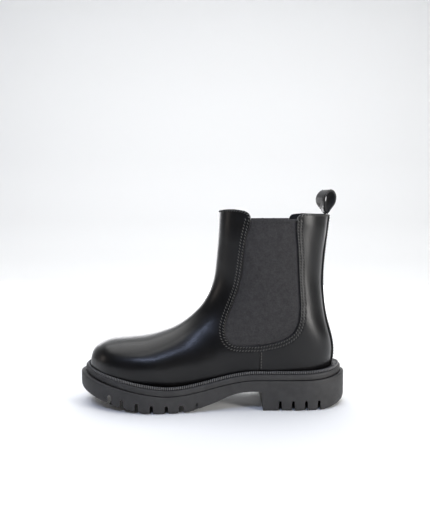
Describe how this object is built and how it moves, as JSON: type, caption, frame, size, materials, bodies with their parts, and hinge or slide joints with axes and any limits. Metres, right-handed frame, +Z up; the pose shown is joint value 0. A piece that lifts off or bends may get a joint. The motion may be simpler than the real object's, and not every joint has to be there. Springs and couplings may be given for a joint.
{
  "type": "chelsea boot",
  "caption": "Ankle-high pull-on boot with elastic side gores, a ribbed welt, a chunky lugged rubber sole and a leather loop at the back of the collar.",
  "frame": {"origin": "middle of the boot's box in plan, on the ground under the tread", "axes": "+X from toe to heel, +Y from the lateral to the medial side, +Z up"},
  "size_m": [0.28, 0.102, 0.2252],
  "materials": {
    "rubber": "matte moulded rubber",
    "leather": "smooth polished calf leather",
    "elastic": "woven elastic webbing",
    "lining": "brushed textile lining",
    "board": "pressed fibre board",
    "foam": "closed-cell foam",
    "steel": "rolled spring steel",
    "thread": "waxed polyester thread"
  },
  "bodies": {
    "boot": {"outsole": "rubber", "heel_core": "foam", "midsole": "rubber", "forepart_filler": "board", "shank": "steel", "welt": "rubber", "insole_board": "board", "footbed": "foam", "sock_lining": "lining", "vamp": "leather", "toe_puff": "board", "vamp_interlining": "lining", "vamp_lining": "lining", "heel_counter": "board", "quarter_lateral": "leather", "quarter_interlining_lateral": "lining", "quarter_lining_lateral": "lining", "gore_lateral": "elastic", "gore_tape_lateral": "elastic", "gore_thread_lateral": "thread", "side_seam_thread_lateral": "thread", "topline_thread_lateral": "thread", "backstay_thread_lateral": "thread", "quarter_medial": "leather", "quarter_interlining_medial": "lining", "quarter_lining_medial": "lining", "gore_medial": "elastic", "gore_tape_medial": "elastic", "gore_thread_medial": "thread", "side_seam_thread_medial": "thread", "topline_thread_medial": "thread", "backstay_thread_medial": "thread", "topline_thread_front": "thread", "backstay": "leather"},
    "tab": {"pull_tab": "leather"}
  },
  "joints": [
    {"name": "pull_tab_bend", "type": "hinge", "parent": "boot", "child": "tab", "pos_m": [0.1197, 0, 0.20378], "axis": [0, 1, 0], "range_deg": [-50, 60], "stiffness_Nm_per_rad": 0.03}
  ]
}
